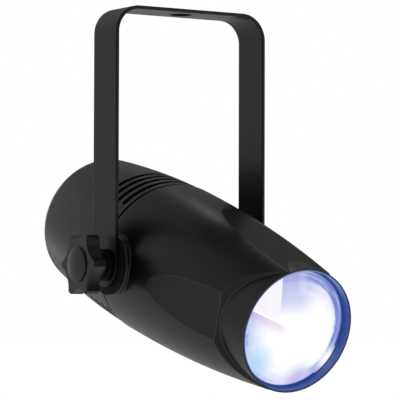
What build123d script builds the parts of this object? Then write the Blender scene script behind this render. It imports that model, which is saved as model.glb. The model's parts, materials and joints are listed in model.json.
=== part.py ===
from build123d import *
import os
from math import atan, cos, degrees, radians, sin, sqrt, tan

# A small hanging spotlight: a cigar-shaped two-piece head that tilts in a flat-strap yoke and is
# clamped by a star knob on each side.  Millimetres.  The row frame has its origin at the middle of
# the yoke's clamp hole, on the strap's top face, with +Z up and the beam leaving towards -Y.
#
# The head is drawn in its own optical frame and then tilted into place:
#   z  forward along the beam from the tilt axis,   y  up,   x  across, along the tilt axis.

# ---- driving dimensions: yoke -------------------------------------------------------------------
YOKE_WIDTH = 102.0          # over the outside of both legs
YOKE_DROP = 147.5           # strap's top face to the tilt axis
STRAP_WIDTH = 25.0
STRAP_THICKNESS = 2.0
BEND_RADIUS = 15.5          # outside of the bends
CLAMP_HOLE_RADIUS = 6.5     # takes the 12 mm bolt of a hanging clamp
LEG_HOLE_RADIUS = 3.3

# ---- driving dimensions: head shells ------------------------------------------------------------
REST_TILT = 17.25           # beam below the horizontal at rest, degrees
NOSE_Z = 123.0              # front rim
TAIL_Z = -98.0              # rear edge of the casing
GIRTH_Z = -10.0             # where the head is fattest
BARREL_GIRTH_RADIUS = 45.3
CASING_GIRTH_RADIUS = 45.0
NOSE_RADIUS = 35.1
TAIL_RADIUS = 39.0
TAIL_ROUNDING = 9.0
SEAM_Z = -12.0              # rear edge of the front barrel
WALL = 2.7
EDGE_BREAK = 0.4            # small chamfer or rounding on cast edges

FACET_START_Z = 36.0        # the four flat facets begin to cut the barrel here
FACET_SLOPE = 7.3           # degrees, each facet's fall towards the nose
COLLAR_RADIUS = 34.9
STEP_Z = 98.3               # the slanted side steps start here, on the side facets
STEP_SLOPE = 43.9           # degrees between a step's normal and the cross axis

REGISTER_LENGTH = 5.0       # spigot of the barrel inside the casing
REGISTER_WALL = 1.9
SLIP = 0.1                  # clearance between parts that only locate each other
LOOSE = 0.2                 # clearance of plates and boards
RUNNING = 0.05              # radial clearance of a turning or threaded pin
SEAL_THICKNESS = 2.4
SEAL_RECESS = 0.8           # of the seal below the casing

VENT_COUNT = 4
VENT_FIRST_Z = -19.5
VENT_PITCH = 6.8
VENT_WIDTH = 3.5
VENT_HALF_ANGLE = 45.0      # to the centres of a slot's round ends

# ---- driving dimensions: pivots and knobs -------------------------------------------------------
BOSS_RADIUS = 17.6
HUB_RADIUS = 8.0            # metal inside the boss, round the threaded insert
HUB_DEPTH = 13.0
INSERT_RADIUS = 4.5
INSERT_LENGTH = 12.0
STUD_RADIUS = 3.0
STUD_TIP_X = 36.0           # distance of the stud's end from the middle of the head
FRICTION_WASHER_RADIUS = 17.0
FRICTION_WASHER_THICKNESS = 2.0
KNOB_WASHER_RADIUS = 9.0
KNOB_WASHER_THICKNESS = 2.0
KNOB_NECK_RADIUS = 6.5
KNOB_NECK_LENGTH = 7.5
KNOB_STAR_RADIUS = 18.6
KNOB_VALLEY_RADIUS = 14.2
KNOB_FLUTE_RADIUS = 13.0
KNOB_STAR_THICKNESS = 8.0
KNOB_LOBES = 6
KNOB_CAP_RADIUS = 10.0
KNOB_CAP_HEIGHT = 0.8
KNOB_CAP_DOME = 1.7         # rise of the cap's dome above its rim
KNOB_CAP_PLUG = 1.3
KNOB_POCKET_DEPTH = 2.6     # takes the cap's plug
STUD_COVER = 3.9            # of the stud's outer end below the knob's face

# ---- driving dimensions: optics -----------------------------------------------------------------
LENS_BORE_RADIUS = 33.6
LENS_SEAT_Z = 113.0
LENS_SEAT_STEP = 3.6        # of the seat inside the lens's bore
LENS_SEAT_LENGTH = 3.5
LENS_EDGE = 3.0
LENS_SAG = 5.0
GASKET_THICKNESS = 1.0
RING_THICKNESS = 1.2
RING_WIDTH = 1.6
RING_GROOVE_DEPTH = 0.5
RING_GAP_ANGLE = 34.0
RING_GAP_CENTRE = -35.0     # low on the right-hand side, seen from the front
LED_SIZE = 7.0
LED_HEIGHT = 1.0
LED_DOME_RADIUS = 2.6
COLLIMATOR_HEIGHT = 14.0
COLLIMATOR_RIM_RADIUS = 10.6
COLLIMATOR_FLANGE = 1.5
COLLIMATOR_BASE_RADIUS = 5.0
HOLDER_WALL = 1.1

# ---- driving dimensions: light engine -----------------------------------------------------------
PLATE_THICKNESS = 2.0
PLATE_OPENING_RADIUS = 20.0
LUG_CIRCLE_RADIUS = 36.5
LUG_RADIUS = 4.5
LUG_LENGTH = 10.0
SINK_RADIUS = 33.0
SINK_BASE = 6.0
SINK_LENGTH = 32.0
FIN_THICKNESS = 1.5
FIN_PITCH = 5.0
FIN_COLUMNS = (-5.5, -4.5, -2.5, -1.5, -0.5, 0.5, 1.5, 2.5, 4.5, 5.5)   # in pitches from the middle
SINK_SCREW_CIRCLE = 28.0
PAD_THICKNESS = 0.4
LED_BOARD_RADIUS = 16.0
LED_BOARD_THICKNESS = 1.6
LED_BOARD_SCREW_X = 12.5
LEAD_RADIUS = 0.75
LEAD_SPACING = 1.8
LEAD_HOLE_RADIUS = 2.2
LEAD_Y = 18.0
LEAD_PAD_Y = 13.0

# ---- driving dimensions: driver and rear panel --------------------------------------------------
PILLAR_OFFSET = 17.5        # of each pillar from the axis, across and up
PILLAR_FLATS = 5.5
STANDOFF_LENGTH = 34.0
DRIVER_BOARD_RADIUS = 36.0
DRIVER_BOARD_THICKNESS = 1.6
PANEL_RADIUS = 32.5
PANEL_THICKNESS = 2.5
PANEL_RECESS = 3.5          # depth of the panel's seat below the casing's rear edge
PANEL_LEDGE_RADIUS = 29.0
PANEL_LEDGE = 3.0

SCREW_RADIUS = 1.5          # M3
SCREW_HEAD_RADIUS = 2.8
SCREW_HEAD_HEIGHT = 2.2
SCREW_CLEARANCE = 0.15      # of a plain hole round a screw
THREAD_DEPTH = 6.0          # of a screw in its threaded hole
SOCKET_RADIUS = 1.4
SOCKET_DEPTH = 1.2

GLAND_Y = -15.0
GLAND_THREAD_RADIUS = 7.5
GLAND_FLATS = 18.0
GLAND_FLANGE = 4.0
GLAND_DOME_RADIUS = 8.8
GLAND_DOME_LENGTH = 12.0
GLAND_MOUTH_RADIUS = 4.0
GLAND_SEAL_LENGTH = 8.0
GLAND_SEAL_WALL = 1.2       # of the seal's seat, outside the gland's mouth
GLAND_NUT = 4.0

EYE_Y = 18.0
EYE_SHANK_RADIUS = 2.5
EYE_RING_RADIUS = 7.5
EYE_WIRE_RADIUS = 2.2
EYE_COLLAR_RADIUS = 5.0
EYE_COLLAR = 2.0
EYE_NUT_FLATS = 8.0
EYE_NUT = 4.0

# ---- places that follow from the driving dimensions ---------------------------------------------
LEG_INNER_X = YOKE_WIDTH / 2 - STRAP_THICKNESS
LEG_OUTER_X = YOKE_WIDTH / 2
BOSS_X = LEG_INNER_X - SLIP - FRICTION_WASHER_THICKNESS
KNOB_X = LEG_OUTER_X + KNOB_WASHER_THICKNESS
STAR_X = KNOB_X + KNOB_NECK_LENGTH
KNOB_FACE_X = STAR_X + KNOB_STAR_THICKNESS
CASING_FRONT_Z = SEAM_Z - SEAL_THICKNESS
CASING_BORE_RADIUS = BARREL_GIRTH_RADIUS - WALL
REGISTER_RADIUS = CASING_BORE_RADIUS - SLIP
REGISTER_BORE_RADIUS = REGISTER_RADIUS - REGISTER_WALL
PLATE_BACK_Z = SEAM_Z - PLATE_THICKNESS
SINK_BACK_Z = PLATE_BACK_Z - SINK_BASE
LED_BOARD_Z = SEAM_Z + PAD_THICKNESS
LED_Z = LED_BOARD_Z + LED_BOARD_THICKNESS
BOARD_FRONT_Z = SINK_BACK_Z - STANDOFF_LENGTH
BOARD_BACK_Z = BOARD_FRONT_Z - DRIVER_BOARD_THICKNESS
PANEL_FRONT_Z = TAIL_Z + PANEL_RECESS
PANEL_BACK_Z = PANEL_FRONT_Z - PANEL_THICKNESS
LENS_SEAT_RADIUS = LENS_BORE_RADIUS - LENS_SEAT_STEP
LENS_BACK_Z = LENS_SEAT_Z + GASKET_THICKNESS
LENS_FRONT_Z = LENS_BACK_Z + LENS_EDGE
PILLARS = [(x, y) for x in (-PILLAR_OFFSET, PILLAR_OFFSET) for y in (-PILLAR_OFFSET, PILLAR_OFFSET)]
LUG_ANGLES = (45, 135, 225, 315)
CROSS_ANGLES = (0, 90, 180, 270)
BIG = 400.0                 # larger than the whole head, for cutting tools

IN_HEAD = Pos(0, 0, -YOKE_DROP) * Rot(90 + REST_TILT, 0, 0)


# ---- small makers -------------------------------------------------------------------------------
def disc(radius, start, end, x=0.0, y=0.0):
    """A cylinder along z between two planes."""
    low = min(start, end)
    up = (Align.CENTER, Align.CENTER, Align.MIN)
    return Pos(x, y, low) * Cylinder(radius, abs(end - start), align=up)


def tube(outer, inner, start, end):
    """A round tube along z."""
    return disc(outer, start, end) - disc(inner, start, end)


def hexagon(flats, start, end, x=0.0, y=0.0):
    """A hexagonal prism along z."""
    corner_radius = flats / 2 / cos(radians(30))
    outline = RegularPolygon(corner_radius, 6)
    return Pos(x, y, min(start, end)) * extrude(outline, abs(end - start))


def spun(*edges):
    """Turns an outline of (radius, z) edges once round the z axis."""
    outline = Curve() + list(edges)
    return revolve(Plane.XZ * make_face(outline), Axis.Z)


def spun_polygon(*points):
    """Turns a closed polygon of (radius, z) points once round the z axis."""
    return revolve(Plane.XZ * make_face(Polyline(*points, close=True)), Axis.Z)


def outside_plane(angle, radius, z, slope):
    """Everything outside a plane that leans over the axis: the tool that cuts a facet or a step."""
    block = Box(BIG, BIG, BIG, align=(Align.MIN, Align.CENTER, Align.CENTER))
    return Rot(0, 0, angle) * Pos(radius, 0, z) * Rot(0, -slope, 0) * block


def rounded_end(solid, z, radius):
    """Rounds every circular edge that lies in the plane at z."""
    edges = solid.edges().filter_by(GeomType.CIRCLE).filter_by_position(Axis.Z, z - 0.01, z + 0.01)
    return fillet(edges, radius)


def screw(start, into, x=0.0, y=0.0):
    """A pan-head M3 screw: head on the plane at start, shank going towards the plane at into."""
    away = 1 if start > into else -1
    top = start + away * SCREW_HEAD_HEIGHT
    head = disc(SCREW_HEAD_RADIUS, start, top, x, y)
    head = rounded_end(head, top, SCREW_HEAD_HEIGHT * 0.45)
    socket = hexagon(2 * SOCKET_RADIUS, top - away * SOCKET_DEPTH, top + away, x, y)
    return head - socket + disc(SCREW_RADIUS - RUNNING, start, into, x, y)


def group(solids):
    """Several separate solids of one kind in one node."""
    return Compound(children=[piece for item in solids for piece in item.solids()])


# ---- outlines shared by the shells --------------------------------------------------------------
def arc_radius(girth, end_radius, end_z):
    """Radius of the long arc that falls from the girth to an end of the head."""
    fall = girth - end_radius
    run = abs(end_z - GIRTH_Z)
    return (run * run + fall * fall) / (2 * fall)


BARREL_ARC = arc_radius(BARREL_GIRTH_RADIUS, NOSE_RADIUS, NOSE_Z)
CASING_ARC = arc_radius(CASING_GIRTH_RADIUS, TAIL_RADIUS, TAIL_Z)


def barrel_radius(z):
    """Outside of the front barrel, before its facets are cut."""
    return BARREL_GIRTH_RADIUS - BARREL_ARC + sqrt(BARREL_ARC**2 - (z - GIRTH_Z) ** 2)


def casing_radius(z):
    """Outside of the rear casing."""
    return CASING_GIRTH_RADIUS - CASING_ARC + sqrt(CASING_ARC**2 - (z - GIRTH_Z) ** 2)


FACET_RADIUS = barrel_radius(FACET_START_Z)


def facet_radius(z):
    """Distance of a facet's middle line from the axis."""
    return FACET_RADIUS - (z - FACET_START_Z) * tan(radians(FACET_SLOPE))


def barrel_blank():
    """The barrel's round outside as a full solid."""
    middle = (SEAM_Z + NOSE_Z) / 2
    outline = ThreePointArc(
        (barrel_radius(SEAM_Z), SEAM_Z), (barrel_radius(middle), middle), (barrel_radius(NOSE_Z), NOSE_Z)
    )
    ends = Polyline(outline @ 1, (0, NOSE_Z), (0, SEAM_Z), outline @ 0)
    return spun(outline, ends)


def casing_blank(inset, front, back, rounding):
    """The casing's outside, or its cavity when inset by the wall, as a full solid."""
    middle = (front + back) / 2
    outline = ThreePointArc(
        (casing_radius(front) - inset, front),
        (casing_radius(middle) - inset, middle),
        (casing_radius(back) - inset, back),
    )
    ends = Polyline(outline @ 1, (0, back), (0, front), outline @ 0)
    return rounded_end(spun(outline, ends), back, rounding)


# ---- yoke ---------------------------------------------------------------------------------------
def make_yoke():
    """A flat strap bent into a U, open downwards, with round leg ends."""
    half = YOKE_WIDTH / 2
    path = FilletPolyline(
        (-half + STRAP_THICKNESS / 2, -YOKE_DROP - STRAP_WIDTH / 2),
        (-half + STRAP_THICKNESS / 2, -STRAP_THICKNESS / 2),
        (half - STRAP_THICKNESS / 2, -STRAP_THICKNESS / 2),
        (half - STRAP_THICKNESS / 2, -YOKE_DROP - STRAP_WIDTH / 2),
        radius=BEND_RADIUS - STRAP_THICKNESS / 2,
    )
    outer = offset(path, STRAP_THICKNESS / 2, side=Side.BOTH, kind=Kind.INTERSECTION)
    strap = extrude(Plane.XZ * make_face(outer), STRAP_WIDTH / 2, both=True)
    straight = YOKE_WIDTH + STRAP_WIDTH
    keep = Pos(0, 0, -YOKE_DROP / 2) * Box(straight, STRAP_WIDTH, YOKE_DROP)
    across = Pos(0, 0, -YOKE_DROP) * Rot(0, 90, 0)
    keep += across * Cylinder(STRAP_WIDTH / 2, straight)
    strap = strap & keep
    strap -= disc(CLAMP_HOLE_RADIUS, -2 * STRAP_THICKNESS, STRAP_THICKNESS)
    strap -= across * Cylinder(LEG_HOLE_RADIUS, straight)
    sides = strap.edges().filter_by(lambda edge: abs(abs(edge.center().Y) - STRAP_WIDTH / 2) < 0.01)
    return fillet(sides, EDGE_BREAK)


# ---- shells -------------------------------------------------------------------------------------
def boss_blanks(radius, reach):
    """Both pivot bosses as one cylinder across the head."""
    return Rot(0, 90, 0) * Cylinder(radius, 2 * reach)


def make_front_barrel():
    outside = barrel_blank()
    for angle in CROSS_ANGLES:
        outside -= outside_plane(angle, FACET_RADIUS, FACET_START_Z, FACET_SLOPE)
    for angle in (0, 180):
        outside -= outside_plane(angle, facet_radius(STEP_Z), STEP_Z, STEP_SLOPE)
    outside += disc(COLLAR_RADIUS, STEP_Z - 2 * WALL, NOSE_Z)
    outside += boss_blanks(BOSS_RADIUS, BOSS_X)
    outside = chamfered_boss(outside)
    outside += disc(REGISTER_RADIUS, SEAM_Z, SEAM_Z - REGISTER_LENGTH)

    seat_z = LENS_SEAT_Z - LENS_SEAT_LENGTH
    cavity = spun_polygon(
        (0, SEAM_Z),
        (CASING_BORE_RADIUS, SEAM_Z),
        (FACET_RADIUS - WALL, FACET_START_Z),
        (facet_radius(seat_z) - WALL, seat_z),
        (LENS_SEAT_RADIUS, seat_z),
        (LENS_SEAT_RADIUS, LENS_SEAT_Z),
        (LENS_BORE_RADIUS, LENS_SEAT_Z),
        (LENS_BORE_RADIUS, NOSE_Z + 1),
        (0, NOSE_Z + 1),
    )
    shell = outside - cavity - disc(REGISTER_BORE_RADIUS, SEAM_Z, SEAM_Z - 2 * BOSS_RADIUS)

    groove_radius = LENS_BORE_RADIUS + RING_GROOVE_DEPTH
    shell -= disc(groove_radius, LENS_FRONT_Z, LENS_FRONT_Z + RING_THICKNESS + SLIP)
    for angle in LUG_ANGLES:
        lug = disc(LUG_RADIUS, SEAM_Z, SEAM_Z + LUG_LENGTH)
        reach = CASING_BORE_RADIUS + WALL / 10 - LUG_CIRCLE_RADIUS
        web_align = (Align.MIN, Align.CENTER, Align.MIN)
        lug += Pos(0, 0, SEAM_Z) * Box(reach, 2 * LUG_RADIUS, LUG_LENGTH, align=web_align)
        lug -= disc(SCREW_RADIUS, SEAM_Z, SEAM_Z + THREAD_DEPTH + 1)
        shell += Rot(0, 0, angle) * Pos(LUG_CIRCLE_RADIUS, 0, 0) * lug
    for side in (-1, 1):
        centre = side * (BOSS_X - HUB_DEPTH / 2)
        shell += Pos(centre, 0, 0) * Rot(0, 90, 0) * Cylinder(HUB_RADIUS, HUB_DEPTH)
        centre = side * (BOSS_X - INSERT_LENGTH / 2)
        shell -= Pos(centre, 0, 0) * Rot(0, 90, 0) * Cylinder(INSERT_RADIUS, INSERT_LENGTH)
        centre = side * (BOSS_X - HUB_DEPTH)
        shell -= Pos(centre, 0, 0) * Rot(0, 90, 0) * Cylinder(STUD_RADIUS + SLIP, HUB_DEPTH)
    return shell


def chamfered_boss(solid):
    """Rounds the outer rims of both pivot bosses."""
    rims = solid.edges().filter_by(GeomType.CIRCLE)
    rims = rims.filter_by(lambda rim: abs(abs(rim.center().X) - BOSS_X) < 0.01)
    return fillet(rims, 2 * EDGE_BREAK)


def make_rear_casing():
    shell = casing_blank(0, CASING_FRONT_Z, TAIL_Z, TAIL_ROUNDING)
    cavity_inset = CASING_GIRTH_RADIUS - CASING_BORE_RADIUS
    ledge_z = PANEL_FRONT_Z + PANEL_LEDGE
    shell -= casing_blank(cavity_inset, CASING_FRONT_Z, ledge_z, TAIL_ROUNDING - WALL)
    shell -= disc(PANEL_RADIUS + LOOSE, TAIL_Z, PANEL_FRONT_Z)
    shell -= disc(PANEL_LEDGE_RADIUS, TAIL_Z, ledge_z)
    shell -= boss_blanks(BOSS_RADIUS + LOOSE, YOKE_WIDTH)
    for index in range(VENT_COUNT):
        slot = vent_slot(VENT_FIRST_Z - index * VENT_PITCH)
        shell -= slot
        shell -= Rot(0, 0, 180) * slot
    return shell


def vent_slot(z):
    """Cutter for one curved slot over the top of the casing, with round ends."""
    low = CASING_BORE_RADIUS / 2
    high = CASING_GIRTH_RADIUS + 2
    section = Plane.XZ * (Pos((low + high) / 2, z) * Rectangle(high - low, VENT_WIDTH))
    sweep_angle = 2 * VENT_HALF_ANGLE
    slot = Rot(0, 0, 90 - VENT_HALF_ANGLE) * revolve(section, Axis.Z, sweep_angle)
    for turn in (-VENT_HALF_ANGLE, VENT_HALF_ANGLE):
        end = Rot(0, 90, 0) * Cylinder(VENT_WIDTH / 2, high - low)
        slot += Rot(0, 0, 90 + turn) * Pos((low + high) / 2, 0, z) * end
    return slot


def make_seam_seal():
    seal = tube(casing_radius(SEAM_Z) - SEAL_RECESS, CASING_BORE_RADIUS, CASING_FRONT_Z, SEAM_Z)
    return seal - boss_blanks(BOSS_RADIUS + LOOSE, YOKE_WIDTH)


def panel_holes():
    """Everything that passes through the rear panel."""
    through = (PANEL_BACK_Z - 1, PANEL_FRONT_Z + 1)
    holes = disc(GLAND_THREAD_RADIUS + SLIP, *through, y=GLAND_Y)
    holes += disc(EYE_SHANK_RADIUS + SLIP, *through, y=EYE_Y)
    for x, y in PILLARS:
        holes += disc(SCREW_RADIUS + SCREW_CLEARANCE, *through, x, y)
    return holes


def make_rear_panel():
    panel = disc(PANEL_RADIUS, PANEL_BACK_Z, PANEL_FRONT_Z)
    panel = rounded_end(panel, PANEL_BACK_Z, EDGE_BREAK)
    return panel - panel_holes()


def make_rear_panel_screws():
    return group(screw(PANEL_BACK_Z, PANEL_FRONT_Z + THREAD_DEPTH, x, y) for x, y in PILLARS)


# ---- lens at the nose ---------------------------------------------------------------------------
def make_lens():
    """A plano-convex glass lens, bulging forwards, with a flat rim for its retaining ring."""
    edge = LENS_BORE_RADIUS - LOOSE
    crown_edge = LENS_BORE_RADIUS + RING_GROOVE_DEPTH - SLIP - RING_WIDTH - LOOSE
    top = (0, LENS_FRONT_Z + LENS_SAG)
    halfway = (crown_edge / 2, LENS_FRONT_Z + lens_rise(crown_edge / 2, crown_edge))
    crown = ThreePointArc((crown_edge, LENS_FRONT_Z), halfway, top)
    rest = Polyline(top, (0, LENS_BACK_Z), (edge, LENS_BACK_Z), (edge, LENS_FRONT_Z), crown @ 0)
    return spun(crown, rest)


def lens_rise(radius, edge):
    """Height of the lens's crown above its edge at a radius."""
    sphere = (edge**2 + LENS_SAG**2) / (2 * LENS_SAG)
    return sqrt(sphere**2 - radius**2) - (sphere - LENS_SAG)


def make_lens_gasket():
    return tube(LENS_BORE_RADIUS - LOOSE, LENS_SEAT_RADIUS, LENS_SEAT_Z, LENS_BACK_Z)


def make_lens_ring():
    """A split spring ring in the collar's groove."""
    outer = LENS_BORE_RADIUS + RING_GROOVE_DEPTH - SLIP
    ring = tube(outer, outer - RING_WIDTH, LENS_FRONT_Z, LENS_FRONT_Z + RING_THICKNESS)
    reach = 2 * outer
    half_gap = reach * tan(radians(RING_GAP_ANGLE / 2))
    wedge = extrude(make_face(Polyline((0, 0), (reach, -half_gap), (reach, half_gap), close=True)), BIG)
    return ring - Rot(0, 0, RING_GAP_CENTRE) * wedge


# ---- light engine -------------------------------------------------------------------------------
def make_mounting_plate():
    plate = disc(REGISTER_BORE_RADIUS - LOOSE, PLATE_BACK_Z, SEAM_Z)
    plate -= disc(PLATE_OPENING_RADIUS, PLATE_BACK_Z, SEAM_Z)
    hole = disc(SCREW_RADIUS + SCREW_CLEARANCE, PLATE_BACK_Z, SEAM_Z)
    for angle in LUG_ANGLES:
        plate -= Rot(0, 0, angle) * Pos(LUG_CIRCLE_RADIUS, 0, 0) * hole
    for angle in CROSS_ANGLES:
        plate -= Rot(0, 0, angle) * Pos(SINK_SCREW_CIRCLE, 0, 0) * hole
    return plate


def make_plate_screws():
    one = screw(PLATE_BACK_Z, SEAM_Z + THREAD_DEPTH)
    return group(Rot(0, 0, angle) * Pos(LUG_CIRCLE_RADIUS, 0, 0) * one for angle in LUG_ANGLES)


def make_heat_sink():
    fin = Rectangle(FIN_THICKNESS, 2 * SINK_RADIUS)
    fins = Sketch() + [Pos(column * FIN_PITCH, 0) * fin for column in FIN_COLUMNS]
    fins = Pos(0, 0, PLATE_BACK_Z - SINK_LENGTH) * extrude(fins, SINK_LENGTH - SINK_BASE / 2)
    sink = fins & disc(SINK_RADIUS, PLATE_BACK_Z - SINK_LENGTH, PLATE_BACK_Z)
    sink += disc(SINK_RADIUS, SINK_BACK_Z, PLATE_BACK_Z)
    sink += disc(PLATE_OPENING_RADIUS - LOOSE, PLATE_BACK_Z, SEAM_Z)
    sink -= disc(LEAD_HOLE_RADIUS, SINK_BACK_Z, SEAM_Z, y=LEAD_Y)
    for angle in CROSS_ANGLES:
        bore = disc(SCREW_RADIUS, PLATE_BACK_Z, PLATE_BACK_Z - SINK_BASE * 0.8, x=SINK_SCREW_CIRCLE)
        sink -= Rot(0, 0, angle) * bore
    for x in (-LED_BOARD_SCREW_X, LED_BOARD_SCREW_X):
        sink -= disc(SCREW_RADIUS, SEAM_Z, SEAM_Z - THREAD_DEPTH, x=x)
    for x, y in PILLARS:
        sink -= disc(SCREW_RADIUS, SINK_BACK_Z, SINK_BACK_Z + SINK_BASE * 0.85, x, y)
    return sink


def make_heat_sink_screws():
    one = screw(SEAM_Z, PLATE_BACK_Z - SINK_BASE * 0.75)
    return group(Rot(0, 0, angle) * Pos(SINK_SCREW_CIRCLE, 0, 0) * one for angle in CROSS_ANGLES)


def led_board_holes(start, end):
    radius = SCREW_RADIUS + SCREW_CLEARANCE
    return group(disc(radius, start, end, x=x) for x in (-LED_BOARD_SCREW_X, LED_BOARD_SCREW_X))


def make_thermal_pad():
    return disc(LED_BOARD_RADIUS - LOOSE, SEAM_Z, LED_BOARD_Z) - led_board_holes(SEAM_Z, LED_BOARD_Z)


def make_led_board():
    return disc(LED_BOARD_RADIUS, LED_BOARD_Z, LED_Z) - led_board_holes(LED_BOARD_Z, LED_Z)


def make_led_board_screws():
    tip = SEAM_Z - THREAD_DEPTH * 0.8
    return group(screw(LED_Z, tip, x=x) for x in (-LED_BOARD_SCREW_X, LED_BOARD_SCREW_X))


def make_led_emitter():
    standing = (Align.CENTER, Align.CENTER, Align.MIN)
    base = Pos(0, 0, LED_Z) * Box(LED_SIZE, LED_SIZE, LED_HEIGHT, align=standing)
    dome = Pos(0, 0, LED_Z + LED_HEIGHT) * Sphere(LED_DOME_RADIUS)
    upper = disc(LED_SIZE, LED_Z + LED_HEIGHT, LED_Z + 2 * LED_SIZE)
    return base + (dome & upper)


def make_collimator():
    """A clear moulded cone over the emitter that gathers its light forwards."""
    bottom = LED_Z + LED_HEIGHT + LOOSE
    top = bottom + COLLIMATOR_HEIGHT
    pocket = LED_DOME_RADIUS + LOOSE
    return spun_polygon(
        (pocket, bottom),
        (COLLIMATOR_BASE_RADIUS, bottom),
        (COLLIMATOR_RIM_RADIUS - HOLDER_WALL, top - COLLIMATOR_FLANGE),
        (COLLIMATOR_RIM_RADIUS, top - COLLIMATOR_FLANGE),
        (COLLIMATOR_RIM_RADIUS, top),
        (0, top),
        (0, bottom + LED_DOME_RADIUS + 1),
        (pocket, bottom + LED_DOME_RADIUS + 1),
    )


def make_collimator_holder():
    """A black cup that stands on the LED board and carries the collimator's flange."""
    bottom = LED_Z + LED_HEIGHT + LOOSE
    top = bottom + COLLIMATOR_HEIGHT
    shelf = top - COLLIMATOR_FLANGE
    inner_low = COLLIMATOR_BASE_RADIUS + 2 * LOOSE
    inner_high = COLLIMATOR_RIM_RADIUS - HOLDER_WALL + 2 * LOOSE
    rim = COLLIMATOR_RIM_RADIUS + SLIP
    return spun_polygon(
        (inner_low, LED_Z),
        (inner_low + 2 * HOLDER_WALL, LED_Z),
        (inner_high + HOLDER_WALL, shelf - HOLDER_WALL),
        (rim + HOLDER_WALL, shelf - HOLDER_WALL),
        (rim + HOLDER_WALL, top),
        (rim, top),
        (rim, shelf),
        (inner_high, shelf),
        (inner_low, bottom),
    )


def make_lead(side):
    """One wire from the driver board to the LED board, through the heat sink."""
    x = side * LEAD_SPACING / 2
    bow = LED_Z + 3 * LEAD_RADIUS
    path = FilletPolyline(
        (x, LEAD_Y, BOARD_FRONT_Z),
        (x, LEAD_Y, bow),
        (x, LEAD_PAD_Y, bow),
        (x, LEAD_PAD_Y, LED_Z),
        radius=2 * LEAD_RADIUS,
    )
    section = Plane(origin=path @ 0, z_dir=path % 0) * Circle(LEAD_RADIUS)
    return sweep(section, path)


# ---- driver -------------------------------------------------------------------------------------
def pillar(front, back, hole_depth):
    """A hexagonal M3 spacer: a stud at its front end and a threaded hole at its back end."""
    stud_length = SINK_BASE * 0.8
    spacer = hexagon(PILLAR_FLATS, front, back)
    spacer += disc(SCREW_RADIUS - RUNNING, front, front + stud_length)
    return spacer - disc(SCREW_RADIUS, back, back + hole_depth)


def make_driver_standoffs():
    one = pillar(SINK_BACK_Z, BOARD_FRONT_Z, THREAD_DEPTH)
    return group(Pos(x, y, 0) * one for x, y in PILLARS)


def make_tie_pillars():
    one = pillar(BOARD_BACK_Z, PANEL_FRONT_Z, THREAD_DEPTH + 2)
    return group(Pos(x, y, 0) * one for x, y in PILLARS)


def make_driver_board():
    board = disc(DRIVER_BOARD_RADIUS, BOARD_FRONT_Z, BOARD_BACK_Z)
    for x, y in PILLARS:
        board -= disc(SCREW_RADIUS + SCREW_CLEARANCE, BOARD_FRONT_Z, BOARD_BACK_Z, x, y)
    return board


def on_board(width, height, depth, x, y):
    """A block standing on the back of the driver board."""
    hanging = (Align.CENTER, Align.CENTER, Align.MAX)
    return Pos(x, y, BOARD_BACK_Z) * Box(width, height, depth, align=hanging)


def make_transformer():
    """A ferrite core round a wound bobbin."""
    core = on_board(24, 16, 18, 0, 8) - on_board(17, 20, 9, 0, 8).moved(Pos(0, 0, -5))
    bobbin = on_board(15.6, 20, 9, 0, 8).moved(Pos(0, 0, -5))
    return core + bobbin + on_board(10, 12, 18, 0, 8)


def make_capacitors():
    length = 20
    cans = [disc(5.0, BOARD_BACK_Z, BOARD_BACK_Z - length, x, -14) for x in (-7, 7)]
    return group(rounded_end(can, BOARD_BACK_Z - length, 0.8) for can in cans)


def make_choke():
    """A wound ring lying on the board."""
    ring = disc(7.5, BOARD_BACK_Z, BOARD_BACK_Z - 8) - disc(3.0, BOARD_BACK_Z, BOARD_BACK_Z - 8)
    return Pos(-26, 0, 0) * ring


def make_terminal_block():
    block = on_board(10, 16, 11, 26, 0)
    for y in (-5, 0, 5):
        block -= disc(1.7, BOARD_BACK_Z - 7, BOARD_BACK_Z - 12, 26, y)
    return block


def make_board_fuse():
    """A glass fuse lying in its two end caps."""
    lie = Pos(0, -26, BOARD_BACK_Z - 3.2) * Rot(0, 90, 0)
    fuse = lie * Cylinder(2.4, 20)
    for x in (-8, 8):
        fuse += Pos(x, 0, 0) * lie * Cylinder(3.0, 5)
        fuse += on_board(4, 4, 3.2, x, -26)
    return fuse


# ---- rear fittings ------------------------------------------------------------------------------
def at_gland(shape):
    return Pos(0, GLAND_Y, 0) * shape


def make_gland_body():
    flange_back = PANEL_BACK_Z - GLAND_FLANGE
    thread_back = flange_back - GLAND_DOME_LENGTH * 0.6
    body = hexagon(GLAND_FLATS, PANEL_BACK_Z, flange_back)
    body += disc(GLAND_THREAD_RADIUS, flange_back, PANEL_FRONT_Z + GLAND_NUT + 2)
    body += disc(GLAND_THREAD_RADIUS - 1, flange_back, thread_back)
    body -= disc(GLAND_MOUTH_RADIUS, PANEL_FRONT_Z + GLAND_NUT + 2, thread_back)
    body -= disc(GLAND_MOUTH_RADIUS + GLAND_SEAL_WALL, thread_back + GLAND_SEAL_LENGTH, thread_back)
    return at_gland(body)


def make_gland_locknut():
    nut = hexagon(GLAND_FLATS, PANEL_FRONT_Z, PANEL_FRONT_Z + GLAND_NUT)
    return at_gland(nut - disc(GLAND_THREAD_RADIUS + RUNNING, PANEL_FRONT_Z, PANEL_FRONT_Z + GLAND_NUT))


def make_gland_seal():
    """The rubber bush that a lead would be squeezed in."""
    thread_back = PANEL_BACK_Z - GLAND_FLANGE - GLAND_DOME_LENGTH * 0.6
    outer = GLAND_MOUTH_RADIUS + GLAND_SEAL_WALL - RUNNING
    return at_gland(tube(outer, GLAND_MOUTH_RADIUS - 1, thread_back + GLAND_SEAL_LENGTH, thread_back))


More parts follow.
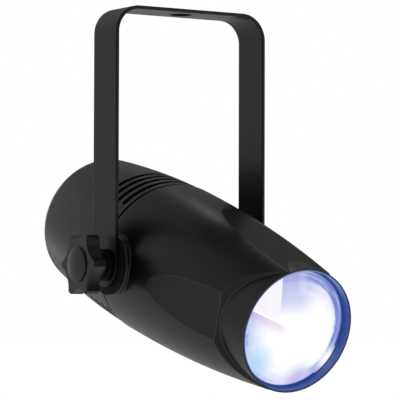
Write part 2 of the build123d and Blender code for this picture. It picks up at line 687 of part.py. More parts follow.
def make_gland_dome_nut():
    flange_back = PANEL_BACK_Z - GLAND_FLANGE
    end = flange_back - GLAND_DOME_LENGTH
    nut = disc(GLAND_DOME_RADIUS, flange_back, end)
    nut = rounded_end(nut, end, GLAND_DOME_RADIUS - GLAND_MOUTH_RADIUS - 1)
    nut -= disc(GLAND_THREAD_RADIUS - 1 + RUNNING, flange_back, flange_back - GLAND_DOME_LENGTH * 0.6)
    nut -= disc(GLAND_MOUTH_RADIUS, flange_back, end)
    return at_gland(nut)


def make_safety_eye():
    """A forged ring on a threaded shank, for a safety cable."""
    collar_back = PANEL_BACK_Z - EYE_COLLAR
    centre = collar_back - EYE_RING_RADIUS - EYE_WIRE_RADIUS + 0.8
    eye = disc(EYE_COLLAR_RADIUS, PANEL_BACK_Z, collar_back)
    eye += disc(EYE_SHANK_RADIUS, PANEL_BACK_Z, PANEL_FRONT_Z + EYE_NUT + 2)
    ring = Pos(0, 0, centre) * Rot(0, 90, 0) * Torus(EYE_RING_RADIUS, EYE_WIRE_RADIUS)
    return Pos(0, EYE_Y, 0) * (eye + ring)


def make_safety_eye_nut():
    nut = hexagon(EYE_NUT_FLATS, PANEL_FRONT_Z, PANEL_FRONT_Z + EYE_NUT)
    nut -= disc(EYE_SHANK_RADIUS + RUNNING, PANEL_FRONT_Z, PANEL_FRONT_Z + EYE_NUT)
    return Pos(0, EYE_Y, 0) * nut


# ---- pivots and knobs: drawn with z outwards along the tilt axis, x forwards ---------------------
def at_side(side):
    """Location of one side's pieces: side is -1 on the left, +1 on the right."""
    return Plane(origin=(0, 0, -YOKE_DROP), x_dir=(0, -1, 0), z_dir=(side, 0, 0)).location


def make_insert():
    return tube(INSERT_RADIUS, STUD_RADIUS + RUNNING, BOSS_X - INSERT_LENGTH, BOSS_X)


def make_friction_washer():
    return tube(FRICTION_WASHER_RADIUS, LEG_HOLE_RADIUS, BOSS_X, BOSS_X + FRICTION_WASHER_THICKNESS)


def make_knob_washer():
    washer = disc(KNOB_WASHER_RADIUS, LEG_OUTER_X, KNOB_X)
    washer = rounded_end(washer, KNOB_X, EDGE_BREAK)
    return washer - disc(LEG_HOLE_RADIUS, LEG_OUTER_X, KNOB_X)


def make_knob():
    """A moulded star handle: six lobes, a round neck and a pocket for its cap."""
    star = disc(KNOB_STAR_RADIUS, STAR_X, KNOB_FACE_X)
    flute_centre = KNOB_VALLEY_RADIUS + KNOB_FLUTE_RADIUS
    for index in range(KNOB_LOBES):
        angle = (index + 0.5) * 360 / KNOB_LOBES
        flute = disc(KNOB_FLUTE_RADIUS, STAR_X - 1, KNOB_FACE_X + 1, x=flute_centre)
        star -= Rot(0, 0, angle) * flute
    star = fillet(star.edges().filter_by(Axis.Z), 1.2)
    outline = star.edges().filter_by_position(Axis.Z, KNOB_FACE_X - 0.01, KNOB_FACE_X + 0.01)
    star = fillet(outline, 2 * EDGE_BREAK)
    star += disc(KNOB_NECK_RADIUS, KNOB_X, STAR_X)
    star -= disc(STUD_RADIUS, KNOB_X, KNOB_FACE_X - STUD_COVER)
    return star - disc(KNOB_CAP_RADIUS / 2, KNOB_FACE_X - KNOB_POCKET_DEPTH, KNOB_FACE_X)


def make_knob_stud():
    return disc(STUD_RADIUS, STUD_TIP_X, KNOB_FACE_X - STUD_COVER)


def make_knob_cap():
    """A domed cap that hides the stud, held by a plug in the star's pocket."""
    rim = KNOB_FACE_X + KNOB_CAP_HEIGHT
    dome_radius = (KNOB_CAP_RADIUS**2 + KNOB_CAP_DOME**2) / (2 * KNOB_CAP_DOME)
    dome = Pos(0, 0, rim + KNOB_CAP_DOME - dome_radius) * Sphere(dome_radius)
    cap = disc(KNOB_CAP_RADIUS, KNOB_FACE_X, rim + KNOB_CAP_DOME) & dome
    return cap + disc(KNOB_CAP_RADIUS / 2 - RUNNING, KNOB_FACE_X - KNOB_CAP_PLUG, KNOB_FACE_X)


# ---- the whole light ----------------------------------------------------------------------------
HEAD_NODES = {
    "front_barrel": make_front_barrel,
    "rear_casing": make_rear_casing,
    "seam_seal": make_seam_seal,
    "rear_panel": make_rear_panel,
    "rear_panel_screws": make_rear_panel_screws,
    "lens": make_lens,
    "lens_gasket": make_lens_gasket,
    "lens_retaining_ring": make_lens_ring,
    "mounting_plate": make_mounting_plate,
    "mounting_plate_screws": make_plate_screws,
    "heat_sink": make_heat_sink,
    "heat_sink_screws": make_heat_sink_screws,
    "thermal_pad": make_thermal_pad,
    "led_board": make_led_board,
    "led_board_screws": make_led_board_screws,
    "led_emitter": make_led_emitter,
    "collimator_lens": make_collimator,
    "collimator_holder": make_collimator_holder,
    "driver_standoffs": make_driver_standoffs,
    "driver_board": make_driver_board,
    "tie_pillars": make_tie_pillars,
    "driver_transformer": make_transformer,
    "driver_capacitors": make_capacitors,
    "driver_choke": make_choke,
    "mains_terminal_block": make_terminal_block,
    "board_fuse": make_board_fuse,
    "cable_gland_body": make_gland_body,
    "cable_gland_locknut": make_gland_locknut,
    "cable_gland_seal": make_gland_seal,
    "cable_gland_dome_nut": make_gland_dome_nut,
    "safety_eye": make_safety_eye,
    "safety_eye_nut": make_safety_eye_nut,
}
SIDE_NODES = {
    "pivot_insert": make_insert,
    "friction_washer": make_friction_washer,
    "knob_washer": make_knob_washer,
    "tilt_knob": make_knob,
    "knob_stud": make_knob_stud,
    "knob_cap": make_knob_cap,
}


def build_nodes():
    nodes = {"yoke": make_yoke()}
    for name, make in HEAD_NODES.items():
        nodes[name] = IN_HEAD * make()
    nodes["led_lead_red"] = IN_HEAD * make_lead(-1)
    nodes["led_lead_black"] = IN_HEAD * make_lead(1)
    for name, make in SIDE_NODES.items():
        for side, side_name in ((-1, "left"), (1, "right")):
            nodes[f"{name}_{side_name}"] = at_side(side) * make()
    return nodes


os.makedirs("parts", exist_ok=True)
for node_name, node_shape in build_nodes().items():
    export_step(node_shape, f"parts/{node_name}.step")
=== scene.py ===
import json
import math

import bmesh
import bpy
from mathutils import Matrix, Vector


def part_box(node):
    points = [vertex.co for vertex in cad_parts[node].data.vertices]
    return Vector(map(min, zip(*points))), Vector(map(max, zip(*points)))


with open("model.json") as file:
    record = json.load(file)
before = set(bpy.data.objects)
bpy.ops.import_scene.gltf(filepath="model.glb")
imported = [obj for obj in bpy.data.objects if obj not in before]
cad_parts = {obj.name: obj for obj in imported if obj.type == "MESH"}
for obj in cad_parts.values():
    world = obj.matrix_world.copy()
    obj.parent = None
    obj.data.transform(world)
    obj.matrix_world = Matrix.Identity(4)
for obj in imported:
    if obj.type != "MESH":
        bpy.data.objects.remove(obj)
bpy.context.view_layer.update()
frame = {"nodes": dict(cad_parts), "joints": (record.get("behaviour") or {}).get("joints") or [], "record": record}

# A small hanging spotlight.  Lengths are metres in the row frame unless a name ends in _mm.
# Patterns on the head are worked out in its optical frame (z forward along the beam, y up, x across),
# which HEAD places in the row frame.

MM = 0.001


# ---- places read from the frame ------------------------------------------------------------------
def centre(node):
    low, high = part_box(node)
    return (low + high) / 2


JOINTS = {joint["name"]: joint for joint in frame["joints"]}
PIVOT = Vector(JOINTS["head_tilt"]["pos_m"])
BACKWARDS = centre("driver_board") - PIVOT
REST_TILT = math.atan2(BACKWARDS.z, BACKWARDS.y)
HEAD = Matrix.Translation(PIVOT) @ Matrix.Rotation(math.radians(90) + REST_TILT, 4, "X")
LENS_LOW, LENS_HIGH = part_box("lens")
LENS_RADIUS = (LENS_HIGH.x - LENS_LOW.x) / 2
LENS_PLANE = (HEAD.inverted() @ centre("lens_retaining_ring")).z


# ---- camera, lights and floor --------------------------------------------------------------------
CAMERA_AZIMUTH = math.radians(33.1)
CAMERA_PITCH = math.radians(-2.38)
CAMERA_ROLL = math.radians(0.15)
CAMERA_DISTANCE = 1.410
CAMERA_RIGHT = 0.0115
CAMERA_UP = 0.0380
CAMERA_LENS_mm = 219.5
FLOOR_DROP = 0.42          # below the clamp hole


def make_camera():
    forward = Vector((
        math.sin(CAMERA_AZIMUTH) * math.cos(CAMERA_PITCH),
        math.cos(CAMERA_AZIMUTH) * math.cos(CAMERA_PITCH),
        -math.sin(CAMERA_PITCH),
    ))
    right = Vector((math.cos(CAMERA_AZIMUTH), -math.sin(CAMERA_AZIMUTH), 0))
    up = right.cross(forward)
    turn = Matrix((right, up, -forward)).transposed().to_4x4()
    turn = turn @ Matrix.Rotation(CAMERA_ROLL, 4, "Z")
    place = PIVOT - forward * CAMERA_DISTANCE + right * CAMERA_RIGHT + up * CAMERA_UP
    data = bpy.data.cameras.new("camera")
    data.lens = CAMERA_LENS_mm
    data.sensor_width = 36
    data.clip_start = 0.05
    data.clip_end = 60
    camera = bpy.data.objects.new("camera", data)
    camera.matrix_world = Matrix.Translation(place) @ turn
    bpy.context.scene.collection.objects.link(camera)
    bpy.context.scene.camera = camera


def add_softbox(name, direction, distance, size, power, colour=(1, 1, 1)):
    data = bpy.data.lights.new(name, "AREA")
    data.shape = "RECTANGLE"
    data.size, data.size_y = size
    data.energy = power
    data.color = colour
    lamp = bpy.data.objects.new(name, data)
    towards = Vector(direction).normalized()
    target = PIVOT + Vector((0, 0, 0.03))
    turn = towards.to_track_quat("Z", "Y").to_matrix().to_4x4()
    lamp.matrix_world = Matrix.Translation(target + towards * distance) @ turn
    bpy.context.scene.collection.objects.link(lamp)
    return lamp


SKY_GLOWS = (              # where a broad glow stands round the object, and how strong it is
    ((-0.83, 0.54, 0.10), 0.27),
    ((-0.20, 0.97, 0.10), 0.28),
    ((0.54, 0.83, 0.10), 0.05),
    ((0.0, 0.0, 1.0), 0.09),
    ((0.69, -0.20, 0.69), 0.12),
)


def make_world():
    """White to the camera; for lighting, broad glows at the left, behind and above the object."""
    world = bpy.data.worlds.new("studio")
    bpy.context.scene.world = world
    world.use_nodes = True
    nodes, links = world.node_tree.nodes, world.node_tree.links
    nodes.clear()
    output = nodes.new("ShaderNodeOutputWorld")
    mix = nodes.new("ShaderNodeMixShader")
    seen = nodes.new("ShaderNodeBackground")
    seen.inputs["Color"].default_value = (1, 1, 1, 1)
    seen.inputs["Strength"].default_value = 1.0
    lit = nodes.new("ShaderNodeBackground")
    place = nodes.new("ShaderNodeTexCoord")
    total = None
    for direction, strength in SKY_GLOWS:
        dot = nodes.new("ShaderNodeVectorMath")
        dot.operation = "DOT_PRODUCT"
        dot.inputs[1].default_value = direction
        glow = nodes.new("ShaderNodeMapRange")
        glow.interpolation_type = "SMOOTHSTEP"
        glow.inputs["From Min"].default_value = 0.25
        glow.inputs["To Max"].default_value = strength
        both = nodes.new("ShaderNodeMath")
        links.new(place.outputs["Generated"], dot.inputs[0])
        links.new(dot.outputs["Value"], glow.inputs["Value"])
        links.new(glow.outputs["Result"], both.inputs[0])
        both.inputs[1].default_value = 0.0
        if total:
            links.new(total, both.inputs[1])
        total = both.outputs["Value"]
    links.new(total, lit.inputs["Strength"])
    path = nodes.new("ShaderNodeLightPath")
    links.new(path.outputs["Is Camera Ray"], mix.inputs["Fac"])
    links.new(lit.outputs["Background"], mix.inputs[1])
    links.new(seen.outputs["Background"], mix.inputs[2])
    links.new(mix.outputs["Shader"], output.inputs["Surface"])


def make_floor():
    shape = bmesh.new()
    bmesh.ops.create_circle(shape, cap_ends=True, segments=96, radius=14.0)
    bmesh.ops.translate(shape, verts=shape.verts, vec=(0, 0, -FLOOR_DROP))
    mesh = bpy.data.meshes.new("floor")
    shape.to_mesh(mesh)
    shape.free()
    floor = bpy.data.objects.new("floor", mesh)
    bpy.context.scene.collection.objects.link(floor)
    paint = bpy.data.materials.new("pale_floor")
    paint.use_nodes = True
    shader = paint.node_tree.nodes["Principled BSDF"]
    shader.inputs["Base Color"].default_value = (0.62, 0.62, 0.62, 1)
    shader.inputs["Roughness"].default_value = 0.9
    shader.inputs["Emission Color"].default_value = (1, 1, 1, 1)
    glow = paint.node_tree.nodes.new("ShaderNodeMapRange")
    glow.inputs["To Min"].default_value = 0.32
    glow.inputs["To Max"].default_value = 0.9
    path = paint.node_tree.nodes.new("ShaderNodeLightPath")
    paint.node_tree.links.new(path.outputs["Is Camera Ray"], glow.inputs["Value"])
    paint.node_tree.links.new(glow.outputs["Result"], shader.inputs["Emission Strength"])
    mesh.materials.append(paint)


# ---- material building blocks --------------------------------------------------------------------
class Paint:
    """One material: its Principled shader and a few short ways to feed it."""

    def __init__(self, name):
        self.material = bpy.data.materials.new(name)
        self.material.use_nodes = True
        self.nodes = self.material.node_tree.nodes
        self.links = self.material.node_tree.links
        self.shader = self.nodes["Principled BSDF"]

    def set(self, **values):
        for key, value in values.items():
            self.shader.inputs[key.replace("_", " ")].default_value = value
        return self

    def node(self, kind, **values):
        made = self.nodes.new(kind)
        for key, value in values.items():
            made.inputs[key.replace("_", " ")].default_value = value
        return made

    def group(self, tree, **values):
        made = self.nodes.new("ShaderNodeGroup")
        made.node_tree = tree
        for key, value in values.items():
            made.inputs[key.replace("_", " ")].default_value = value
        return made

    def link(self, source, target):
        self.links.new(source, target)
        return self

    def bump(self, height, distance, strength=1.0, over=None):
        bump = self.node("ShaderNodeBump", Strength=strength, Distance=distance)
        self.link(height, bump.inputs["Height"])
        if over is not None:
            self.link(over, bump.inputs["Normal"])
        self.link(bump.outputs["Normal"], self.shader.inputs["Normal"])
        return self

    def mix(self, factor, low, high, target):
        """Blends two colours by a mask into a socket."""
        mix = self.nodes.new("ShaderNodeMix")
        mix.data_type = "RGBA"
        mix.inputs["A"].default_value = (*low, 1)
        mix.inputs["B"].default_value = (*high, 1)
        self.link(factor, mix.inputs["Factor"])
        self.link(mix.outputs["Result"], target)
        return mix

    def calc(self, operation, *values):
        """One Math node; each value is a socket or a number."""
        made = self.nodes.new("ShaderNodeMath")
        made.operation = operation
        for socket, value in zip(made.inputs, values):
            if isinstance(value, (int, float)):
                socket.default_value = value
            else:
                self.link(value, socket)
        return made.outputs["Value"]

    def times(self, first, second):
        return self.calc("MULTIPLY", first, second)

    def plus(self, first, second):
        return self.calc("ADD", first, second)

    def minus(self, first, second):
        return self.calc("SUBTRACT", first, second)

    def step(self, value, low, high):
        """A soft step from 0 at low to 1 at high, which may be the smaller one."""
        ramp = self.nodes.new("ShaderNodeMapRange")
        ramp.interpolation_type = "SMOOTHSTEP"
        turned = low > high
        ramp.inputs["From Min"].default_value = min(low, high)
        ramp.inputs["From Max"].default_value = max(low, high)
        ramp.inputs["To Min"].default_value = 1.0 if turned else 0.0
        ramp.inputs["To Max"].default_value = 0.0 if turned else 1.0
        self.link(value, ramp.inputs["Value"])
        return ramp.outputs["Result"]

    def blend(self, factor, below, above):
        """Lays one colour over another by a mask; each is a socket or a colour."""
        mix = self.nodes.new("ShaderNodeMix")
        mix.data_type = "RGBA"
        self.link(factor, mix.inputs[0])
        for socket, colour in ((mix.inputs[6], below), (mix.inputs[7], above)):
            if isinstance(colour, tuple):
                socket.default_value = (*colour, 1)
            else:
                self.link(colour, socket)
        return mix.outputs[2]

    def colours(self, value, stops):
        """A colour ramp through (place, colour) stops."""
        ramp = self.nodes.new("ShaderNodeValToRGB")
        elements = ramp.color_ramp.elements
        elements[0].position, elements[0].color = stops[0][0], (*stops[0][1], 1)
        elements[1].position, elements[1].color = stops[-1][0], (*stops[-1][1], 1)
        for place, colour in stops[1:-1]:
            elements.new(place).color = (*colour, 1)
        self.link(value, ramp.inputs["Fac"])
        return ramp.outputs["Color"]

    def span(self, value, low, high, target=None):
        """Maps a 0 to 1 value to a range."""
        ramp = self.node("ShaderNodeMapRange", To_Min=low, To_Max=high)
        self.link(value, ramp.inputs["Value"])
        if target is not None:
            self.link(ramp.outputs["Result"], target)
        return ramp.outputs["Result"]


def new_group(name, inputs, outputs):
    """A node group with number inputs, and outputs given as name: kind of socket."""
    tree = bpy.data.node_groups.new(name, "ShaderNodeTree")
    for label, value in inputs.items():
        socket = tree.interface.new_socket(name=label, in_out="INPUT", socket_type="NodeSocketFloat")
        socket.default_value = value
    for label, kind in outputs.items():
        tree.interface.new_socket(name=label, in_out="OUTPUT", socket_type=f"NodeSocket{kind}")
    return tree, tree.nodes.new("NodeGroupInput"), tree.nodes.new("NodeGroupOutput")


def make_surface_group():
    """Fine grain, slow mottling and lighter edges of a coated or moulded surface: rubbed edges, and on the barrel
    a painted highlight along the facet ridges.
    """
    tree, enter, leave = new_group(
        "coated_surface",
        {"Grain Scale": 1500.0, "Mottle Scale": 60.0, "Edge Radius": 0.0006, "Edge Turn": 0.85, "Wear And Highlight": 0.5},
        {"Grain": "Float", "Mottle": "Float", "Edge": "Float", "Rounded": "Vector"},
    )
    nodes, links = tree.nodes, tree.links
    place = nodes.new("ShaderNodeTexCoord")
    grain = nodes.new("ShaderNodeTexNoise")
    grain.inputs["Detail"].default_value = 3
    grain.inputs["Roughness"].default_value = 0.6
    mottle = nodes.new("ShaderNodeTexNoise")
    mottle.inputs["Detail"].default_value = 5
    links.new(place.outputs["Object"], grain.inputs["Vector"])
    links.new(place.outputs["Object"], mottle.inputs["Vector"])
    links.new(enter.outputs["Grain Scale"], grain.inputs["Scale"])
    links.new(enter.outputs["Mottle Scale"], mottle.inputs["Scale"])
    bevel = nodes.new("ShaderNodeBevel")
    bevel.samples = 6
    links.new(enter.outputs["Edge Radius"], bevel.inputs["Radius"])
    geometry = nodes.new("ShaderNodeNewGeometry")
    dot = nodes.new("ShaderNodeVectorMath")
    dot.operation = "DOT_PRODUCT"
    links.new(bevel.outputs["Normal"], dot.inputs[0])
    links.new(geometry.outputs["Normal"], dot.inputs[1])
    edge = nodes.new("ShaderNodeMapRange")
    edge.inputs["From Min"].default_value = 0.9985
    links.new(enter.outputs["Edge Turn"], edge.inputs["From Max"])
    links.new(dot.outputs["Value"], edge.inputs["Value"])
    patchy = nodes.new("ShaderNodeMapRange")
    patchy.inputs["From Min"].default_value = 0.35
    patchy.inputs["From Max"].default_value = 0.65
    patchy.inputs["To Min"].default_value = 0.35
    links.new(mottle.outputs["Fac"], patchy.inputs["Value"])
    worn_and_highlit_edge = nodes.new("ShaderNodeMath")
    worn_and_highlit_edge.operation = "MULTIPLY"
    links.new(edge.outputs["Result"], worn_and_highlit_edge.inputs[0])
    links.new(patchy.outputs["Result"], worn_and_highlit_edge.inputs[1])
    amount = nodes.new("ShaderNodeMath")
    amount.operation = "MULTIPLY"
    links.new(worn_and_highlit_edge.outputs["Value"], amount.inputs[0])
    links.new(enter.outputs["Wear And Highlight"], amount.inputs[1])
    links.new(grain.outputs["Fac"], leave.inputs["Grain"])
    links.new(mottle.outputs["Fac"], leave.inputs["Mottle"])
    links.new(amount.outputs["Value"], leave.inputs["Edge"])
    links.new(bevel.outputs["Normal"], leave.inputs["Rounded"])
    return tree


SURFACE = make_surface_group()
ROUGHNESS_SPAN = 0.08      # either side of a coat's own roughness


def coated(
    name, dark, worn_and_highlit_edge, roughness, grain_mm=0.7, depth_mm=0.02, wear_and_highlight=0.5, edge_mm=0.6, turn=0.85, **extra
):
    """A coated or moulded finish: grain in the bump, mottled gloss, and lighter edges, which are rubbed edges on
    most coats and a painted highlight along the barrel's ridges.
    """
    paint = Paint(name).set(**extra)
    surface = paint.group(SURFACE, Grain_Scale=1 / (grain_mm * MM), Mottle_Scale=45.0)
    surface.inputs["Edge Radius"].default_value = edge_mm * MM
    surface.inputs["Edge Turn"].default_value = turn
    surface.inputs["Wear And Highlight"].default_value = wear_and_highlight
    paint.mix(surface.outputs["Edge"], dark, worn_and_highlit_edge, paint.shader.inputs["Base Color"])
    gloss = paint.shader.inputs["Roughness"]
    paint.span(surface.outputs["Mottle"], roughness - ROUGHNESS_SPAN, roughness + ROUGHNESS_SPAN, gloss)
    paint.bump(surface.outputs["Grain"], depth_mm * MM, over=surface.outputs["Rounded"])
    return paint


def brushed(name, colour, roughness, scale_mm, stretch, **extra):
    """A turned or drawn metal: fine lines along one way."""
    paint = Paint(name).set(Metallic=1.0, **extra)
    place = paint.node("ShaderNodeTexCoord")
    turn = paint.node("ShaderNodeMapping", Scale=stretch)
    lines = paint.node("ShaderNodeTexNoise", Scale=1 / (scale_mm * MM), Detail=4.0)
    paint.link(place.outputs["Object"], turn.inputs["Vector"])
    paint.link(turn.outputs["Vector"], lines.inputs["Vector"])
    paint.span(lines.outputs["Fac"], roughness * 0.6, roughness * 1.4, paint.shader.inputs["Roughness"])
    low = tuple(channel * 0.8 for channel in colour)
    paint.mix(lines.outputs["Fac"], low, colour, paint.shader.inputs["Base Color"])
    paint.bump(lines.outputs["Fac"], 0.01 * MM)
    return paint


# ---- finishes ------------------------------------------------------------------------------------
BLACK_COAT = (0.0042, 0.0043, 0.0048)
WORN_COAT = (0.045, 0.046, 0.049)
# Painted highlight: the pale colour laid along the barrel's facet ridges in place of their glints.
RIDGE_HIGHLIGHT = (0.13, 0.135, 0.14)
SPILL_BLUE = (0.020, 0.058, 0.260)
SPILL_PALE = (0.18, 0.25, 0.50)
LENS_GLOW = (
    (0.0, (1.0, 1.0, 1.0)), (0.55, (0.99, 0.99, 1.0)), (0.70, (0.88, 0.90, 0.99)),
    (0.84, (0.70, 0.73, 0.93)), (0.95, (0.50, 0.58, 0.87)), (1.0, (0.22, 0.32, 0.70)),
)
# The lamp's picture in the lens; places are across and up from the lens's axis.
GLOW_CENTRE_mm = (3.0, -3.5)
RINGS_ACROSS = 34.0
RINGS_ROUND = 1.3
RAY_SLOPE = 0.357
RAY_OFFSET_mm = 0.2
SECTOR_LILAC = (0.42, 0.44, 0.78)
WEDGE_PALE = (0.93, 0.90, 0.97)
SHADOW_PINK = (0.72, 0.52, 0.68)
RAY_WHITE = (1.0, 0.97, 1.0)
LENS_PATCHES = (           # place, size, strength, colour
    ((-20, -19), 0.42, 0.75, (0.38, 0.68, 0.92)),
    ((9, -28), 0.40, 0.7, (0.42, 0.38, 0.72)),
)
WHITE_SPILL = ((27, -18), 0.36)
RIM_BAND = ((0.32, (0.10, 0.15, 0.46)), (0.52, (0.23, 0.29, 0.66)), (0.70, (0.60, 0.66, 0.92)))


def in_head(paint):
    """Position in the head's optical frame: x across, y up, z forward."""
    place = paint.node("ShaderNodeTexCoord")
    turn = paint.node("ShaderNodeMapping")
    turn.vector_type = "TEXTURE"
    turn.inputs["Location"].default_value = HEAD.to_translation()
    turn.inputs["Rotation"].default_value = HEAD.to_euler()
    paint.link(place.outputs["Object"], turn.inputs["Vector"])
    split = paint.node("ShaderNodeSeparateXYZ")
    paint.link(turn.outputs["Vector"], split.inputs["Vector"])
    return split.outputs["X"], split.outputs["Y"], split.outputs["Z"]


def lens_radius(paint, x, y, centre_mm=(0, 0)):
    """Distance from a point on the lens, as a share of the lens's own radius."""
    across = paint.minus(x, centre_mm[0] * MM)
    height = paint.minus(y, centre_mm[1] * MM)
    squares = paint.plus(paint.times(across, across), paint.times(height, height))
    return paint.calc("DIVIDE", paint.calc("SQRT", squares), LENS_RADIUS)


def spot(paint, x, y, centre_mm, size):
    """A soft round patch, 1 in its middle and 0 beyond its size."""
    return paint.step(lens_radius(paint, x, y, centre_mm), size, 0.0)


def glowing_lens():
    """The lit front lens: a white middle, a bright wedge, and lilac and blue rings towards its rim."""
    paint = Paint("lit_lens").set(Roughness=0.06, IOR=1.5, Base_Color=(0.02, 0.025, 0.05, 1))
    x, y, _ = in_head(paint)
    radius = lens_radius(paint, x, y)
    angle = paint.calc("ARCTAN2", y, x)
    polar = paint.node("ShaderNodeCombineXYZ")
    paint.link(paint.times(radius, RINGS_ACROSS), polar.inputs["X"])
    paint.link(paint.times(angle, RINGS_ROUND), polar.inputs["Y"])
    ring_noise = paint.node("ShaderNodeTexNoise", Scale=1.0, Detail=5.0, Roughness=0.62)
    paint.link(polar.outputs["Vector"], ring_noise.inputs["Vector"])
    rings = ring_noise.outputs["Fac"]
    cloud_noise = paint.node("ShaderNodeTexNoise", Scale=130.0, Detail=4.0, Distortion=0.8)
    place = paint.node("ShaderNodeTexCoord")
    paint.link(place.outputs["Object"], cloud_noise.inputs["Vector"])
    cloud = cloud_noise.outputs["Fac"]
    ripple = paint.plus(
        paint.times(paint.minus(rings, 0.5), 0.34),
        paint.times(paint.minus(cloud, 0.5), 0.2),
    )

    # the white middle, which breaks up into rings outwards
    off_middle = lens_radius(paint, x, y, GLOW_CENTRE_mm)
    rippled = paint.plus(off_middle, paint.times(ripple, paint.step(off_middle, 0.25, 0.6)))
    glow = paint.colours(rippled, LENS_GLOW)

    # lilac rings inside the rim, on the right
    rim = paint.step(paint.plus(radius, paint.times(ripple, 0.35)), 0.79, 0.84)
    from_right = paint.calc("COSINE", paint.minus(angle, math.radians(25)))
    right_rim = paint.times(rim, paint.step(from_right, -0.1, 0.45))
    glow = paint.blend(right_rim, glow, paint.colours(rings, RIM_BAND))

    # the lilac sector at the top, the pale wedge on the left, and its shadow and bright ray
    above_ray = paint.plus(paint.times(x, RAY_SLOPE), paint.minus(y, RAY_OFFSET_mm * MM))
    sector = paint.times(paint.step(y, 6 * MM, 17 * MM), paint.step(x, 14 * MM, -2 * MM))
    glow = paint.blend(paint.times(sector, 0.6), glow, SECTOR_LILAC)
    beside = paint.step(x, -11.6 * MM, -12.4 * MM)
    upper = paint.step(above_ray, -0.3 * MM, 0.3 * MM)
    wedge = paint.times(paint.times(beside, upper), paint.step(cloud, -0.5, 0.6))
    glow = paint.blend(wedge, glow, WEDGE_PALE)
    under = paint.step(above_ray, -0.2 * MM, -1.2 * MM)
    shadow = paint.times(under, paint.step(above_ray, -8 * MM, -2 * MM))
    shadow = paint.times(shadow, paint.step(x, -4 * MM, -13 * MM))
    glow = paint.blend(paint.times(shadow, 0.55), glow, SHADOW_PINK)
    on_ray = paint.step(paint.calc("ABSOLUTE", above_ray), 0.75 * MM, 0.25 * MM)
    glow = paint.blend(paint.times(on_ray, paint.step(x, -3 * MM, -9 * MM)), glow, RAY_WHITE)

    # coloured patches low down, the blue edge, and the white spill over it at the right
    for centre_mm, size, strength, colour in LENS_PATCHES:
        patch = paint.times(spot(paint, x, y, centre_mm, size), strength)
        glow = paint.blend(patch, glow, colour)
    edge = paint.step(radius, 0.955, 0.995)
    glow = paint.blend(paint.times(edge, 0.7), glow, SPILL_BLUE)
    spill_mm, spill_size = WHITE_SPILL
    glow = paint.blend(spot(paint, x, y, spill_mm, spill_size), glow, (1.0, 1.0, 1.0))
    paint.link(glow, paint.shader.inputs["Emission Color"])
    paint.set(Emission_Strength=1.0)
    paint.bump(rings, 0.02 * MM)
    return paint


def lit_throat(paint):
    """Paints a glow onto a coat: the collar's inner wall emits the blue light that the lens spills on it, paler
    towards the top.
    """
    x, y, z = in_head(paint)
    radius = lens_radius(paint, x, y)
    near_bore = paint.step(radius, 1.035, 1.005)
    inside = paint.times(near_bore, paint.step(z, LENS_PLANE - 4 * MM, LENS_PLANE))
    top = paint.step(y, 14 * MM, 34 * MM)
    tint = paint.blend(top, SPILL_BLUE, SPILL_PALE)
    paint.link(paint.blend(inside, (0, 0, 0), tint), paint.shader.inputs["Emission Color"])
    return paint.set(Emission_Strength=1.0)


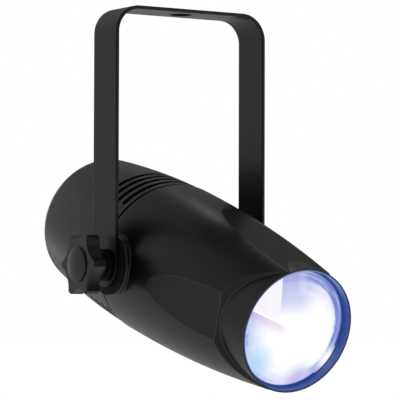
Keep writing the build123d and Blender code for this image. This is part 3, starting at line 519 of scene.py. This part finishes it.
def make_materials():
    black_coat = coated("black_powder_coat", BLACK_COAT, WORN_COAT, 0.30)
    # Painted highlight: this edge mask is tuned to the barrel's shallow facet ridges and lays a pale colour on
    # them in place of their glints.
    barrel = coated("barrel_powder_coat", BLACK_COAT, RIDGE_HIGHLIGHT, 0.30, edge_mm=1.2, turn=0.985, wear_and_highlight=1.0)
    # Painted glow: blue emission on the barrel's throat next to the lens.
    lit_throat(barrel)
    casing = coated("casing_powder_coat", BLACK_COAT, WORN_COAT, 0.34)
    casing.set(Specular_IOR_Level=0.72)
    strap = coated("strap_powder_coat", BLACK_COAT, WORN_COAT, 0.32)
    nylon = coated("black_nylon", (0.007, 0.007, 0.0075), (0.03, 0.03, 0.031), 0.42, grain_mm=1.2)
    nylon.set(Specular_IOR_Level=0.8)
    rubber = coated("black_rubber", (0.003, 0.003, 0.003), (0.01, 0.01, 0.01), 0.8, grain_mm=0.5)
    black_steel = coated("black_steel", (0.02, 0.02, 0.02), (0.2, 0.2, 0.2), 0.3, Metallic=0.6)
    # Painted glow: the retaining ring emits the lens's blue spill as its own light.
    ring = coated("lit_spring_ring", BLACK_COAT, WORN_COAT, 0.3)
    ring.set(Emission_Color=(*SPILL_BLUE, 1), Emission_Strength=0.8)
    zinc = brushed("zinc_steel", (0.62, 0.62, 0.6), 0.3, 0.6, (1, 1, 1))
    brass = brushed("brass", (0.78, 0.58, 0.26), 0.25, 0.5, (1, 1, 1))
    aluminium = brushed("cast_aluminium", (0.72, 0.73, 0.74), 0.35, 0.8, (1, 0.2, 1))
    white = coated("white_board", (0.8, 0.82, 0.8), (0.9, 0.9, 0.9), 0.4, depth_mm=0.005)
    green = coated("green_board", (0.03, 0.2, 0.08), (0.2, 0.35, 0.15), 0.3, depth_mm=0.01)
    ferrite = coated("ferrite", (0.04, 0.04, 0.045), (0.1, 0.1, 0.1), 0.5, grain_mm=0.4)
    sleeve = coated("capacitor_sleeve", (0.03, 0.035, 0.06), (0.1, 0.1, 0.1), 0.2)
    copper = brushed("copper_winding", (0.72, 0.32, 0.13), 0.3, 0.4, (1, 6, 1))
    block = coated("green_block", (0.04, 0.25, 0.09), (0.1, 0.35, 0.15), 0.4)
    red = coated("red_wire", (0.5, 0.02, 0.02), (0.6, 0.1, 0.1), 0.4)
    black_wire = coated("black_wire", (0.015, 0.015, 0.015), (0.05, 0.05, 0.05), 0.4)
    acrylic = Paint("clear_acrylic").set(Transmission_Weight=1.0, Roughness=0.03, IOR=1.49)
    phosphor = Paint("led_phosphor").set(Emission_Color=(0.8, 0.9, 1, 1), Emission_Strength=6.0)
    return {
        "black_powder_coat": black_coat, "steel_strap": strap, "black_nylon": nylon, "black_rubber": rubber,
        "black_steel": black_steel, "zinc_steel": zinc, "brass": brass, "cast_aluminium": aluminium,
        "white_board": white, "green_board": green, "ferrite": ferrite, "capacitor_sleeve": sleeve,
        "copper_winding": copper, "green_block": block, "red_wire": red, "black_wire": black_wire,
        "clear_acrylic": acrylic, "led_phosphor": phosphor, "optical_glass": glowing_lens(),
        "front_barrel": barrel, "rear_casing": casing, "lens_retaining_ring": ring,
    }


def dress(piece, material):
    piece.data.materials.clear()
    piece.data.materials.append(material)


# ---- the scene -----------------------------------------------------------------------------------
make_camera()
make_world()
add_softbox("back_box", (0.0, 1.0, 0.10), 1.8, (0.30, 1.2), 1.1)
add_softbox("ridge_box", (0.32, 0.46, 0.86), 1.6, (0.22, 0.22), 0.5)
add_softbox("edge_box", (0.56, -0.82, 0.05), 1.7, (0.16, 1.0), 1.0)
make_floor()
bpy.context.scene.view_settings.view_transform = "Standard"

MATERIALS = make_materials()
NODE_SLOT = {part["node"]: part["material_slot"] for part in frame["record"]["subparts"]}
for node, piece in frame["nodes"].items():
    dress(piece, MATERIALS.get(node, MATERIALS[NODE_SLOT[node]]).material)
